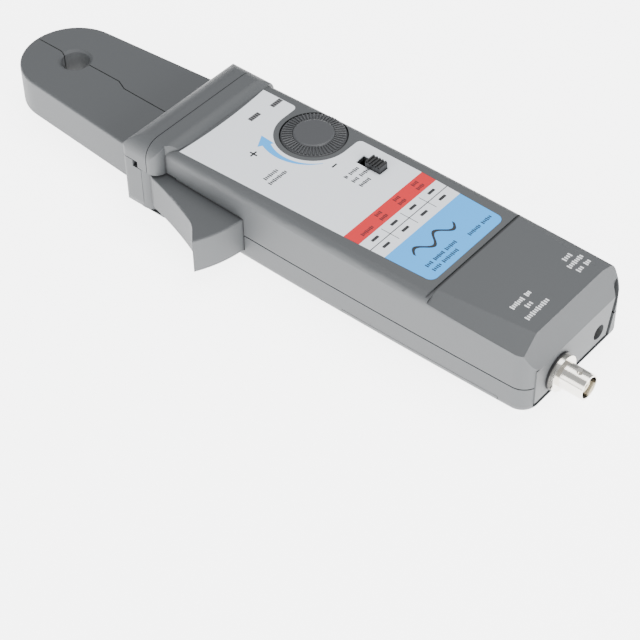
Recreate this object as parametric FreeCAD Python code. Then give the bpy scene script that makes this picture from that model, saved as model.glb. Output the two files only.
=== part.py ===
import FreeCAD, Part
import math
import os

os.makedirs("parts", exist_ok=True)
V = FreeCAD.Vector

# Clamp-on current probe with a battery amplifier in its handle.
# Stations along x start at the jaw tip, y is 0 on the casing's centreline and
# z is 0 on the casing's underside. The whole model is moved at export, so that
# the origin lies under the middle of the casing on the plane it rests on.

# ---- driving dimensions, mm ----
jaw_length = 79.0           # jaw tip to the front of the collar
casing_length = 183.0       # front of the collar to the tail
half_width = 27.2           # casing half width at collar and tail
side_bulge = 1.2            # how far the sides bow out at mid length
seam_height = 12.0          # bottom cover up to here, top cover above
wall = 2.2

# collar
collar_flare = 4.8          # how far the collar stands out past the casing on the lever's side
wheel_flare = 1.8           # on the thumbwheel's side
collar_lift = 2.3           # and past its top and underside
guard_length = 13.0         # front guard, along x
ridge_length = 9.4          # barrier ridge behind the guard
ridge_bow = 1.2             # bow of the ridge's rear edge towards the label
collar_corner = 7.0
guard_slope = 10.0          # radius that brings the guard's top down to the jaws
guard_low_round = 3.6       # radius along the guard's bottom front edge
ridge_round = 5.0           # radius of the ridge's rear top edge
ridge_nub = 5.4             # length of the ridge where it ends on the lever's side
guard_round = 3.0           # upright corner radius at the guard's front
piece_gap = 0.3             # shadow gap between guard and ridge

# jaws
jaw_thickness = 16.0
jaw_low = 4.3               # underside of the jaws
tip_radius = 21.0
jaw_taper = 0.0764          # growth of the half width per mm towards the collar
window_x = 22.6
window_radius = 5.85
slit_gap = 0.4
jaw_wall = 1.8
mating_wall = 1.0
lid_thickness = 1.6
lid_rim = 1.0

# hinge and lever
pivot_back = 10.0           # pivot behind the collar's front
pivot_inset = 2.2           # pivot in from the casing's side
knuckle_low = 2.0
root_high = 23.1            # top of the moving jaw's root, inside the guard
root_step = 1.0             # the root's top ends this far ahead of the lever's seat
root_swing = 2.5            # room behind that step for the jaw to open
running_gap = 0.3
pin_radius = 1.6
pin_clearance = 0.05
bush_wall = 1.0
lever_radius = 47.0
lever_low = 5.0
lever_high = 19.7
lever_reach = 23.4          # lever tip, outwards of the pivot
open_angle = 15.0           # jaw travel, degrees

# hinge spring and lever screws
spring_radius = 4.0
wire_diameter = 0.8
spring_turns = 9
spring_low = 11.0
lever_screw_y = 13.0        # inwards of the pivot
lever_screw_heights = (8.5, 15.5)

# face of the casing
label_thickness = 0.5
label_setback = 46.5        # rear edge of the label, ahead of the tail
knob_back = 55.0            # knob centre behind the collar's front
knob_y = 14.2
knob_radius = 12.6
knob_cap_radius = 7.7
knob_ring = 2.4             # casing ring left bare around the knob
knob_gap = 0.3
groove_setback = 44.2
groove_width = 1.2
groove_depth = 0.8
facet_fronts = {-1: 5.2, 1: 2.0}    # bevel behind the groove: its inner edge at the groove
facet_backs = {-1: 10.4, 1: 7.0}    # and at the tail, in from the side, on each side
facet_slopes = {-1: 0.37, 1: 0.2}
tail_corners = {-1: 7.0, 1: 3.0}    # upright corner radius at the tail, on each side
seam_gap = 0.5              # shadow line between the top and bottom covers
top_softness = 3.4
low_softness = 3.4
switch_back = 82.4          # centre of the switch window behind the collar's front
switch_y = 14.3
switch_travel = 4.0
slider_length = 6.8
slider_width = 4.4
slider_gap = 0.2
slider_lift = 2.6
shaft_radius = 3.0
pot_width = 16.0
pot_depth = 7.0

# electronics
battery_clearance = 0.4     # between the battery and the covers' floor
board_clearance = 2.1       # between the battery and the circuit board
face_depth = 7.3            # from the board's top to the casing's face
board_thickness = 1.6
board_side_gap = 2.6
shield_length = 22.0
shield_setback = 84.0       # front of the shield can, ahead of the tail
battery_length = 48.5
battery_width = 26.5
battery_thickness = 17.5
battery_setback = 17.0      # rear end of the battery, ahead of the tail
door_side_height = 3.6
door_gap = 0.2
door_back_setback = 12.0
door_front_margin = 14.0    # door reaches this far in front of the battery

# tail
end_slant = 5.0             # the end face leans in by this much at the top
end_crease = 20.0           # height where the slant starts
panel_thickness = 2.5
panel_gap = 2.0             # open shadow gap along the panel's bottom and wheel side
panel_left = 23.0           # panel's edge on the lever's side, from the centreline
panel_right = 19.4          # its lower corner on the wheel's side
panel_slant = 0.24          # how its wheel side leans out, per mm of height
gap_high = 25.0             # top of the shadow gap on the wheel's side
lip_low = 2.6               # height of the bottom lip outside the gap
bnc_y = -10.0
bnc_z = 10.5
bnc_radius = 4.8
bnc_thread_radius = 4.6
bnc_length = 12.8
bnc_flange_radius = 6.9
washer_thickness = 0.9
jack_y = 14.5
jack_z = 9.5
jack_radius = 3.0

# fasteners
screw_radius = 1.4
screw_head_radius = 2.7
screw_head_height = 1.8
boss_radius = 3.0

# ---- stations worked out from the driving dimensions ----
battery_low = wall + battery_clearance
board_low = battery_low + battery_thickness + board_clearance
board_high = board_low + board_thickness
casing_height = board_high + face_depth
collar_x = jaw_length
tail_x = collar_x + casing_length
split_x = collar_x + guard_length
ridge_x = split_x + piece_gap
ridge_back = ridge_x + ridge_length
pivot_x = collar_x + pivot_back
pivot_y = -(half_width - pivot_inset)
jaw_high = jaw_low + jaw_thickness
collar_half = half_width + collar_flare
wheel_side = half_width + wheel_flare
knuckle_radius = collar_half + pivot_y - 0.1
bush_radius = pin_radius + pin_clearance + bush_wall
collar_top = casing_height + collar_lift
room_low = knuckle_low - running_gap
room_high = jaw_high + running_gap
root_room = root_high + running_gap
cavity_low = root_room + wall
heel_back = pivot_x - 3.0
knob_x = collar_x + knob_back
switch_x = collar_x + switch_back
window_half = (slider_length + switch_travel) / 2 + slider_gap
groove_x = tail_x - groove_setback
label_back = tail_x - label_setback
label_floor = casing_height - label_thickness
battery_back = tail_x - battery_setback
battery_front = battery_back - battery_length
door_back = tail_x - door_back_setback
door_front = battery_front - door_front_margin
panel_front = tail_x - panel_thickness
opening_front = tail_x - max(wall, panel_thickness) - 0.05
panel_low = lip_low + panel_gap
board_front = ridge_back + 6.3
board_back = tail_x - 9.0
shield_front = tail_x - shield_setback
lever_screw_places = [(pivot_y + lever_screw_y, z) for z in lever_screw_heights]
boss_y = half_width - wall - boss_radius + 0.4
jack_side = min(jack_y + 4.0, boss_y - 0.8 - boss_radius - 0.1)
screw_places = [
    (heel_back + 18.5, boss_y - 0.6),
    (pivot_x + lever_radius + 12.0, -boss_y),
    (tail_x - 6.3, -boss_y + 0.8),
    (tail_x - 6.3, boss_y - 0.8),
]
board_screw_places = [
    (board_front + 4.0, -10.0),
    (board_front + 62.0, -18.0),
    (board_back - 6.0, 0.0),
]
origin_x = collar_x + 8.5


# ---- building blocks ----
def box(x0, x1, y0, y1, z0, z1):
    return Part.makeBox(x1 - x0, y1 - y0, z1 - z0, V(x0, y0, z0))


def post(x, y, radius, z0, z1):
    return Part.makeCylinder(radius, z1 - z0, V(x, y, z0))


def rod(x0, x1, y, z, radius):
    return Part.makeCylinder(radius, x1 - x0, V(x0, y, z), V(1, 0, 0))


def line(a, b):
    return Part.LineSegment(V(*a), V(*b)).toShape()


def arc(a, m, b):
    return Part.Arc(V(*a), V(*m), V(*b)).toShape()


def prism(edges, height):
    return Part.Face(Part.Wire(edges)).extrude(V(0, 0, height))


def polygon_prism(points, z0, z1):
    corners = [V(x, y, z0) for x, y in points]
    face = Part.Face(Part.makePolygon(corners + corners[:1]))
    return face.extrude(V(0, 0, z1 - z0))


def rounded_plate(x0, x1, y0, y1, z0, z1, radius):
    plate = box(x0, x1, y0, y1, z0, z1)
    upright = [e for e in plate.Edges if abs(e.BoundBox.ZLength - (z1 - z0)) < 1e-6]
    return plate.makeFillet(radius, upright)


def edges_at_height(shape, z):
    return [e for e in shape.Edges if abs(e.BoundBox.ZMin - z) < 1e-4 and abs(e.BoundBox.ZMax - z) < 1e-4]


def export(name, shape):
    moved = shape.copy()
    moved.translate(V(-origin_x, 0, collar_lift))
    moved.exportStep("parts/" + name + ".step")


# ---- casing ----
def casing_block(inset, z0, z1, x_front):
    """Plan outline of the casing, bowed sides and rounded tail corners, as a prism."""
    side = half_width - inset
    bow = half_width + side_bulge - inset
    back = tail_x - inset
    middle = (x_front + back) / 2
    edges = [
        arc((x_front, -side, z0), (middle, -bow, z0), (back, -side, z0)),
        line((back, -side, z0), (back, side, z0)),
        arc((back, side, z0), (middle, bow, z0), (x_front, side, z0)),
        line((x_front, side, z0), (x_front, -side, z0)),
    ]
    block = prism(edges, z1 - z0)
    for hand, radius in tail_corners.items():
        upright = [e for e in block.Edges if abs(e.BoundBox.ZLength - (z1 - z0)) < 1e-6
                   and e.BoundBox.XMin > back - 1e-3 and e.BoundBox.YMin * hand > 0]
        block = block.makeFillet(max(radius - inset, 1.0), upright)
    return block


def collar_block(x0, x1):
    """Rounded rectangle across the casing, from x0 to x1."""
    block = box(x0, x1, -collar_half, wheel_side, -collar_lift, collar_top)
    along = [e for e in block.Edges if abs(e.BoundBox.XLength - (x1 - x0)) < 1e-6]
    return block.makeFillet(collar_corner, along)


def across(points_and_arcs, y0, y1):
    """Prism along y of an outline of straight and curved pieces in x and z."""
    edges = []
    for piece in points_and_arcs:
        corners = [(x, y0, z) for x, z in piece]
        edges.append(line(*corners) if len(corners) == 2 else arc(*corners))
    return Part.Face(Part.Wire(edges)).extrude(V(0, y1 - y0, 0))


def rocker_room():
    """Space inside the collar and the side wall that the moving jaw and lever turn in."""
    inner = slit_y(collar_x) + slit_gap / 2
    room = box(collar_x - 1, ridge_back + 1, -collar_half - 5, inner, room_low, room_high)
    step_x = heel_back - root_step + root_swing
    room = room.fuse(box(collar_x - 1, step_x, -collar_half - 5, inner, room_low, root_room))
    reach = lever_radius + running_gap
    sweep = post(pivot_x, pivot_y, reach, lever_low - running_gap, lever_high + running_gap)
    beside = box(ridge_back - 1, pivot_x + lever_radius + 1, -half_width * 2, pivot_y + 16,
                 lever_low - running_gap, lever_high + running_gap)
    return room.fuse(sweep.common(beside))


def tail_cutter():
    """Wedge above the end crease, so that the end face leans towards the top."""
    top = casing_height + 1
    lean = end_slant * (top - end_crease) / (casing_height - end_crease)
    points = [V(tail_x, -60, end_crease), V(tail_x + 1, -60, end_crease), V(tail_x + 1, -60, top),
              V(tail_x - lean, -60, top)]
    return Part.Face(Part.makePolygon(points + points[:1])).extrude(V(0, 120, 0))


def facet_cutter(side):
    """Wedge that bevels the top edge behind the groove, wider towards the tail."""
    reach = 18.0
    start = V(groove_x + groove_width, side * (half_width - facet_fronts[side]), casing_height)
    end = V(tail_x + 3, side * (half_width - facet_backs[side]), casing_height)
    out = V(0, side * reach, -reach * facet_slopes[side])
    corners = [start, end, end + out, start + out]
    return Part.Face(Part.makePolygon(corners + corners[:1])).extrude(V(0, 0, 14))


def slit_y(x):
    """The joint line between the jaws, which steps sideways twice."""
    stations = [(-5.0, 0.45), (14.2, 0.45), (17.7, -0.6), (window_x, 0.2), (28.0, 1.0),
                (45.7, 1.0), (50.6, -1.1), (jaw_length, -1.5), (jaw_length + 60, -1.5)]
    for (x0, y0), (x1, y1) in zip(stations, stations[1:]):
        if x <= x1:
            return y0 + (y1 - y0) * (x - x0) / (x1 - x0)
    return stations[-1][1]


def jaw_side_of_slit(side, offset, z0, z1):
    """Everything on one side of the joint line, set back from it by offset."""
    stops = [-5.0, 14.2, 17.7, 28.0, 45.7, 50.6, jaw_length, jaw_length + 60]
    points = [(x, slit_y(x) + side * offset) for x in stops]
    points += [(jaw_length + 60, side * 60), (-5.0, side * 60)]
    return polygon_prism(points, z0, z1)


def jaw_plan(inset, z0, z1, x_back):
    """Both jaws as one plate: round tip, sides that widen towards the collar."""
    radius = tip_radius - inset
    lean = math.atan(jaw_taper)
    centre = tip_radius + 0.5
    touch_x = centre - radius * math.sin(lean)
    touch_y = radius * math.cos(lean)
    back_y = touch_y + (x_back - touch_x) * jaw_taper
    edges = [
        arc((touch_x, -touch_y, z0), (centre - radius, 0, z0), (touch_x, touch_y, z0)),
        line((touch_x, touch_y, z0), (x_back, back_y, z0)),
        line((x_back, back_y, z0), (x_back, -back_y, z0)),
        line((x_back, -back_y, z0), (touch_x, -touch_y, z0)),
    ]
    return prism(edges, z1 - z0)


def jaw_half(side, inset, mating, z0, z1, x_back):
    plate = jaw_plan(inset, z0, z1, x_back)
    plate = plate.common(jaw_side_of_slit(side, slit_gap / 2 + mating, z0 - 1, z1 + 1))
    return plate.cut(post(window_x, 0, window_radius + inset, z0 - 1, z1 + 1))


def jaw_shell(side):
    """One jaw: a tray open underneath, with a seat for its lid and a dished window rim."""
    soft = 1.0
    plate = jaw_plan(0, jaw_low, jaw_high, collar_x + 1)
    plate = plate.makeFillet(soft, [e for e in edges_at_height(plate, jaw_high)
                                    if e.BoundBox.XMax < collar_x + 0.9
                                    or e.BoundBox.XMin < collar_x])
    plate = plate.common(box(-1, collar_x, -60, 60, jaw_low, jaw_high))
    shell = plate.common(jaw_side_of_slit(side, slit_gap / 2, jaw_low - 1, jaw_high + 1))
    shell = shell.cut(post(window_x, 0, window_radius, jaw_low - 1, jaw_high + 1))
    dish = Part.makeCone(window_radius, window_radius + 1.1, 0.9, V(window_x, 0, jaw_high - 0.9))
    shell = shell.cut(dish)
    seat = jaw_half(side, lid_rim, 0.6, jaw_low - 1, jaw_low + lid_thickness, collar_x - lid_rim - 1)
    hollow = jaw_half(side, jaw_wall, mating_wall, jaw_low, jaw_high - jaw_wall, collar_x - 2.5)
    return shell.cut(seat).cut(hollow)


def jaw_lid(side):
    slack = 0.05
    rear = collar_x - lid_rim - 1 - slack
    return jaw_half(side, lid_rim + slack, 0.6 + slack, jaw_low, jaw_low + lid_thickness, rear)


def core_half(side):
    """Half of the split ring core around the window."""
    slack = 0.2
    z0 = jaw_low + lid_thickness + slack
    z1 = jaw_high - jaw_wall - slack
    ring = post(window_x, 0, window_radius + jaw_wall + 7.5, z0 + 1.4, z1 - 1.4)
    ring = ring.cut(post(window_x, 0, window_radius + jaw_wall + slack, z0, z1))
    return ring.common(jaw_side_of_slit(side, slit_gap / 2 + mating_wall + slack, z0, z1))


def winding(side):
    """Coil bobbin wound around the middle of the core half."""
    z0 = jaw_low + lid_thickness + 0.2
    z1 = jaw_high - jaw_wall - 0.2
    inner = window_radius + jaw_wall + 0.2
    outer = window_radius + jaw_wall + 8.9
    band = post(window_x, 0, outer, z0, z1).cut(post(window_x, 0, inner, z0, z1))
    corners = [(window_x, side * 2.0), (window_x - 16, side * 24), (window_x + 16, side * 24)]
    sector = polygon_prism(corners, z0, z1)
    return band.common(sector).cut(core_half(side))


def ridge_block():
    """Barrier ridge: bowed rear edge, rounded over on top, tapering off on the lever's side."""
    back = ridge_back + ridge_bow
    front = ridge_x
    low = -collar_lift - 1
    end = (ridge_x + ridge_nub * 0.2, -collar_half, low)
    shoulder = (ridge_x + ridge_nub * 0.74, -collar_half + collar_flare * 0.25, low)
    root = (ridge_x + ridge_nub, -half_width, low)
    taper = (ridge_back, -half_width + 3.4, low)
    plan = [
        line((front, -collar_half, low), end),
        arc(end, shoulder, root),
        line(root, taper),
        arc(taper, (back, 0, low), (ridge_back, wheel_side, low)),
        line((ridge_back, wheel_side, low), (front, wheel_side, low)),
        line((front, wheel_side, low), (front, -collar_half, low)),
    ]
    block = collar_block(front, back).common(prism(plan, collar_top - low + 1))
    bend = ridge_round * (1 - math.sqrt(0.5))
    profile = [
        [(front, low), (back + 1, low)],
        [(back + 1, low), (back + 1, collar_top - ridge_round)],
        [(back + 1, collar_top - ridge_round), (back, collar_top - ridge_round)],
        [(back, collar_top - ridge_round), (back - bend, collar_top - bend),
         (back - ridge_round, collar_top)],
        [(back - ridge_round, collar_top), (front, collar_top)],
        [(front, collar_top), (front, low)],
    ]
    return block.common(across(profile, -collar_half - 1, wheel_side + 1))


def guard_block():
    """Front guard: its top slopes down to the jaws in a long curve."""
    low = -collar_lift
    high = collar_top
    top_bend = guard_slope * (1 - math.sqrt(0.5))
    low_bend = guard_low_round * (1 - math.sqrt(0.5))
    profile = [
        [(collar_x + guard_low_round, low), (split_x, low)],
        [(split_x, low), (split_x, high)],
        [(split_x, high), (collar_x + guard_slope, high)],
        [(collar_x + guard_slope, high), (collar_x + top_bend, high - top_bend),
         (collar_x, high - guard_slope)],
        [(collar_x, high - guard_slope), (collar_x, low + guard_low_round)],
        [(collar_x, low + guard_low_round), (collar_x + low_bend, low + low_bend),
         (collar_x + guard_low_round, low)],
    ]
    block = collar_block(collar_x, split_x).common(across(profile, -collar_half - 1, wheel_side + 1))
    outline = rounded_plate(collar_x, split_x + 9, -collar_half, wheel_side, low, high, guard_round)
    return block.common(outline)


def fixed_heel():
    """Root of the fixed jaw, carried back into the collar and bolted between the covers."""
    inner = slit_y(collar_x) + slit_gap / 2
    outer = half_width - wall
    heel = box(collar_x, ridge_back - 1, inner, outer, knuckle_low, jaw_high)
    pocket = box(collar_x + jaw_wall, ridge_back, inner + jaw_wall, outer - jaw_wall, knuckle_low + jaw_wall,
                 jaw_high - jaw_wall)
    lead_hole = rod(collar_x - 4, collar_x + 4, 10, jaw_low + jaw_thickness / 2, 1.5)
    return heel.cut(pocket), lead_hole


def collar_cavity():
    """Hollow of the collar above and below the jaws, open to the casing."""
    above = box(collar_x + wall + 3, ridge_back + 2, -half_width + wall, half_width - wall, cavity_low,
                collar_top - wall - collar_lift)
    inner = slit_y(collar_x) + slit_gap / 2
    heel = box(collar_x - 1, ridge_back + 1, inner, half_width - wall, knuckle_low, jaw_high)
    return above.fuse(heel)


def pin_bores():
    return post(pivot_x, pivot_y, pin_radius, -collar_lift + 1.2, room_high + wall)


def screw_bosses(z0, z1, radius):
    return [post(x, y, radius, z0, z1) for x, y in screw_places]


def fuse_all(shapes):
    return shapes[0].multiFuse(shapes[1:]) if len(shapes) > 1 else shapes[0]


def build_covers():
    """Top and bottom covers with the halves of the barrier ridge."""
    whole = casing_block(0, 0, casing_height, ridge_x)
    top_edges = [e for e in edges_at_height(whole, casing_height) if e.BoundBox.XMax > ridge_x + 1e-3]
    whole = whole.makeFillet(top_softness, top_edges)
    low_edges = [e for e in edges_at_height(whole, 0) if e.BoundBox.XMax > ridge_x + 1e-3]
    whole = whole.makeFillet(low_softness, low_edges)
    whole = whole.cut([facet_cutter(1), facet_cutter(-1), tail_cutter()])
    ridge = ridge_block()
    outside = whole.fuse(ridge)
    hollow = casing_block(wall, wall, casing_height - wall, ridge_x - 1)
    slope = tail_cutter()
    slope.translate(V(-wall, 0, -0.6))
    side_bevels = []
    for side in (1, -1):
        bevel = facet_cutter(side)
        bevel.translate(V(0, -side * wall * 0.8, -wall * 1.1))
        side_bevels.append(bevel)
    hollow = hollow.cut([slope] + side_bevels)
    shell = outside.cut(hollow)
    shell = shell.cut(collar_cavity())
    bosses = fuse_all(screw_bosses(wall / 2, casing_height - 1.2, boss_radius))
    pillars = fuse_all([post(x, y, 2.6, board_high, casing_height - 1.2) for x, y in board_screw_places])
    cup = post(knob_x, knob_y, knob_radius + knob_gap + 1.4, board_high + 0.5, casing_height - 0.5)
    shell = shell.fuse([bosses.common(whole), pillars.common(whole), cup.common(whole)])
    return shell.cut(rocker_room())


def face_cuts():
    """Everything that is sunk into or cut through the top face."""
    groove = box(groove_x, groove_x + groove_width, -60, 60, casing_height - groove_depth, casing_height + 1)
    well = post(knob_x, knob_y, knob_radius + knob_gap, casing_height - 5.2, casing_height + 1)
    shaft_hole = post(knob_x, knob_y, 3.6, board_high, casing_height)
    slot = box(switch_x - window_half, switch_x + window_half, switch_y - slider_width / 2 - slider_gap,
               switch_y + slider_width / 2 + slider_gap, board_high + 4.0, casing_height + 1)
    lights = [box(x - 1.05, x + 1.05, y - 2.75, y + 2.75, board_high + 4, casing_height + 1)
              for x, y in light_places()]
    return [groove, well, shaft_hole, slot] + lights


def light_places():
    return [(collar_x + 31.2, 8.2), (collar_x + 32.2, 19.5)]


def label_plate(slack):
    """Face label: bowed front edge, sides that close in, and a bay around the knob."""
    z0 = label_floor
    front = ridge_back + 0.5 - slack
    bow = front + ridge_bow
    wide = half_width - 3.0 + slack
    mid = half_width - 5.6 + slack
    narrow = half_width - 7.2 + slack
    waist = groove_x - 40
    back = label_back + slack
    edges = [
        arc((front, -wide, z0), (bow, 0, z0), (front, wide - 1.8, z0)),
        line((front, wide - 1.8, z0), (waist, mid + 1.0, z0)),
        line((waist, mid + 1.0, z0), (back, mid - 0.3, z0)),
        line((back, mid - 0.3, z0), (back, -narrow, z0)),
        line((back, -narrow, z0), (waist, -mid, z0)),
        line((waist, -mid, z0), (front, -wide, z0)),
    ]
    plate = prism(edges, casing_height - z0)
    rear = [e for e in plate.Edges if e.BoundBox.XMin > label_back - 1 and e.BoundBox.ZLength > 0.1]
    plate = plate.makeFillet(3.0 + slack, rear)
    bay = post(knob_x, knob_y, knob_radius + knob_ring - slack, z0 - 1, casing_height + 1)
    bay_half = knob_radius + knob_ring - slack
    throat = box(knob_x - bay_half, knob_x + bay_half, knob_y, half_width + 9, z0 - 1, casing_height + 1)
    plate = plate.cut([bay, throat])
    mouth = [e for e in plate.Edges if e.BoundBox.ZLength > 0.1 and e.BoundBox.XLength < 1e-4
             and e.BoundBox.YMin > knob_y + 3.5 and abs(e.BoundBox.XMin - knob_x) < bay_half + 0.1]
    return plate.makeFillet(2.0, mouth)


def end_plate(x0, x1, spread, z1):
    """The end panel's outline, spread outwards along its bottom and wheel side."""
    low = panel_low - spread
    right = panel_right + spread
    points = [(-panel_left, low), (right, low), (right + (z1 - low) * panel_slant, z1), (-panel_left, z1)]
    corners = [V(x0, y, z) for y, z in points]
    return Part.Face(Part.makePolygon(corners + corners[:1])).extrude(V(x1 - x0, 0, 0))


def end_opening():
    """Opening in the covers for the end panel, with the open gap along the bottom and wheel side."""
    opening = end_plate(opening_front, tail_x + 3, panel_gap, gap_high)
    above = end_plate(opening_front - 1, tail_x + 4, 0, gap_high + 1)
    return opening.cut(above.common(box(0, tail_x + 5, -60, 60, end_crease, 60)))


def rounded_plate_x(x0, x1, y0, y1, z0, z1, radius):
    plate = box(x0, x1, y0, y1, z0, z1)
    along = [e for e in plate.Edges
             if abs(e.BoundBox.XLength - (x1 - x0)) < 1e-6 and e.BoundBox.ZMax < (z0 + z1) / 2]
    return plate.makeFillet(radius, along)


def end_panel():
    panel = end_plate(panel_front, tail_x, 0, end_crease)
    holes = [rod(panel_front - 1, tail_x + 1, bnc_y, bnc_z, bnc_thread_radius + 0.1),
             rod(panel_front - 1, tail_x + 1, jack_y, jack_z, jack_radius)]
    return panel.cut(holes)


def battery_door():
    """Door that wraps up the sides a little, cut from the same block as the bottom cover."""
    block = casing_block(0, 0, casing_height, ridge_x)
    low_edges = [e for e in edges_at_height(block, 0) if e.BoundBox.XMax > ridge_x + 1e-3]
    block = block.makeFillet(low_softness, low_edges)
    inside = casing_block(wall, wall, casing_height, ridge_x - 1)
    plate = block.cut(inside).common(box(door_front, door_back, -60, 60, 0, door_side_height))
    hole = post(door_front + 4.5, 0, screw_radius + 0.2, -1, wall + 1)
    sink = post(door_front + 4.5, 0, screw_head_radius + 0.2, -1, 1.0)
    return plate.cut([hole, sink])


def door_cutter():
    return box(door_front - door_gap, door_back + door_gap, -60, 60, -1, door_side_height + door_gap)


def door_screw():
    x = door_front + 4.5
    head = post(x, 0, screw_head_radius, 0.1, 1.0)
    shank = post(x, 0, screw_radius, 1.0, wall + 4)
    slot = box(x - 2, x + 2, -0.4, 0.4, 0, 0.6)
    return head.fuse(shank).cut(slot)


def door_ledge():
    """Threaded ledge of the bottom cover over the door's tongue."""
    x = door_front + 4.5
    ledge = box(door_front - wall, door_front + 7.5, -5, 5, wall + 0.3, wall + 4.5)
    web = box(door_front - wall - door_gap, door_front - door_gap, -12, 12, 0.5, wall + 4.5)
    return ledge.fuse(web).cut(post(x, 0, screw_radius + 0.1, 0, wall + 6))


def make_casing():
    shell = build_covers()
    upper = shell.common(box(ridge_x - 1, tail_x + 5, -60, 60, seam_height + seam_gap / 2, 60))
    lower = shell.common(box(ridge_x - 1, tail_x + 5, -60, 60, -20, seam_height - seam_gap / 2))
    screws = screw_bosses(-1, casing_height - 4, screw_radius)
    heads = screw_bosses(-5, screw_head_height + 0.2, screw_head_radius + 0.2)
    pilot = [post(x, y, 1.0, board_high - 1, casing_height - 3) for x, y in board_screw_places]
    upper = upper.cut(face_cuts() + [label_plate(0.05)] + screws + pilot + [end_opening(), pin_bores()])
    board_room = box(board_front - 0.3, board_back + 0.3, -(half_width - board_side_gap) - 0.3,
                     half_width - board_side_gap + 0.3, board_low - 0.3, board_high)
    bosses = fuse_all(screw_bosses(board_low - 1, board_high + 1, boss_radius + 0.01))
    upper = upper.cut(board_room.cut(bosses))
    notch_x = (pivot_x + lever_radius + door_front) / 2 + 15
    notch = Part.makeCylinder(2.2, 60, V(notch_x, -half_width - 40, 2.6), V(0, 1, 0))
    notch = notch.cut(box(notch_x - 9, notch_x + 9, -half_width * 3, 0, 2.6, 9))
    notch_y = 1.0 - half_width - side_bulge
    notch = notch.common(box(notch_x - 9, notch_x + 9, notch_y - 12, notch_y, -9, 9))
    lower = lower.cut(screws + heads + [door_cutter(), end_opening(), pin_bores(), notch])
    lower = lower.fuse(door_ledge())
    for side in (1, -1):
        middle = side * (half_width - 15)
        pad = rounded_plate(tail_x - 11, tail_x - 3, middle - 4, middle + 4, -collar_lift, 0.5, 2.0)
        lower = lower.fuse(pad)
    return upper, lower


def tidy(shape):
    return shape.removeSplitter()


# ---- collar guard ----
def make_guards():
    block = guard_block().cut([collar_cavity(), rocker_room(), pin_bores()])
    upper = block.common(box(0, tail_x, -60, 60, seam_height + seam_gap / 2, 60))
    lower = block.common(box(0, tail_x, -60, 60, -20, seam_height - seam_gap / 2))
    return upper, lower


# ---- jaws and lever ----
def make_fixed_jaw():
    heel, lead_hole = fixed_heel()
    return jaw_shell(1).fuse(heel).cut(lead_hole)


def make_moving_jaw():
    inner = slit_y(collar_x) - slit_gap / 2
    root = box(collar_x, heel_back, -collar_half, inner, knuckle_low, jaw_high)
    cheek = box(collar_x, pivot_x, -collar_half, pivot_y, knuckle_low, jaw_high)
    step = box(collar_x, heel_back - root_step, -collar_half, inner, knuckle_low, root_high)
    root = root.fuse([cheek, step]).common(guard_block())
    knuckle = post(pivot_x, pivot_y, knuckle_radius, knuckle_low, jaw_high)
    jaw = jaw_shell(-1).fuse([root, knuckle])
    bore = post(pivot_x, pivot_y, bush_radius, 0, 30)
    spring_pocket = post(pivot_x, pivot_y, spring_radius + 1.0, spring_low - 0.6, 30)
    screws = [rod(heel_back - 8, heel_back + 1, y, z, 1.0) for y, z in lever_screw_places]
    return jaw.cut([bore, spring_pocket] + screws)


def around_pivot(radius, angle, z):
    return (pivot_x + radius * math.cos(angle), pivot_y + radius * math.sin(angle), z)


def lever_outline(z0, z1):
    """Plan of the lever: hollowed finger face, rear face on an arc about the hinge."""
    tip_x = pivot_x + math.sqrt(lever_radius ** 2 - lever_reach ** 2)
    tip = (tip_x, pivot_y - lever_reach, z0)
    inner_angle = math.radians(5.0)
    middle_angle = (inner_angle - math.asin(lever_reach / lever_radius)) / 2
    inner = around_pivot(lever_radius, inner_angle, z0)
    middle = around_pivot(lever_radius, middle_angle, z0)
    root = (pivot_x + 2.4, pivot_y - knuckle_radius + 1.6, z0)
    neck = (pivot_x + 6.0, -collar_half - 0.2, z0)
    hollow = (pivot_x + 31.5, pivot_y - 15.2, z0)
    hook = (tip[0] - 4.9, tip[1] + 5.3, z0)
    flange_y = pivot_y + 17.0
    edges = [
        line(root, neck),
        arc(neck, (pivot_x + 19.5, pivot_y - 10.9, z0), hollow),
        arc(hollow, ((hollow[0] + hook[0]) / 2 + 0.1, (hollow[1] + hook[1]) / 2 + 0.25, z0), hook),
        line(hook, tip),
        arc(tip, middle, inner),
        line(inner, (heel_back + 12, flange_y - 7, z0)),
        line((heel_back + 12, flange_y - 7, z0), (heel_back + 7, flange_y, z0)),
        line((heel_back + 7, flange_y, z0), (heel_back, flange_y, z0)),
        line((heel_back, flange_y, z0), (heel_back, pivot_y, z0)),
        line((heel_back, pivot_y, z0), root),
    ]
    return prism(edges, z1 - z0)


def make_lever():
    lever = lever_outline(lever_low, lever_high)
    lever = lever.cut(post(pivot_x, pivot_y, knuckle_radius, 0, 30))
    soft = [e for e in edges_at_height(lever, lever_high)
            if e.BoundBox.YMin < pivot_y - knuckle_radius - 0.1 and e.BoundBox.XMax > pivot_x + 10]
    lever = lever.makeFillet(0.6, soft)
    pocket = polygon_prism([(pivot_x + 16, pivot_y - 6), (pivot_x + 33, pivot_y - 12),
                            (pivot_x + 42.5, pivot_y - 13),
                            (pivot_x + 43.5, pivot_y), (pivot_x + 16, pivot_y + 5)], 0, lever_high - wall)
    head_room = [rod(heel_back + 4, heel_back + 30, y, z, 2.1) for y, z in lever_screw_places]
    shanks = [rod(heel_back - 1, heel_back + 30, y, z, 1.0) for y, z in lever_screw_places]
    return lever.cut([pocket] + head_room + shanks)


def make_lever_screws():
    screws = []
    for y, z in lever_screw_places:
        screw = rod(heel_back - 7, heel_back + 4, y, z, 1.0)
        screw = screw.fuse(rod(heel_back + 4, heel_back + 5.4, y, z, 1.9))
        screws.append(screw)
    return Part.Compound(screws)


def make_pin():
    return post(pivot_x, pivot_y, pin_radius, -collar_lift + 1.2, room_high + wall)


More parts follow.
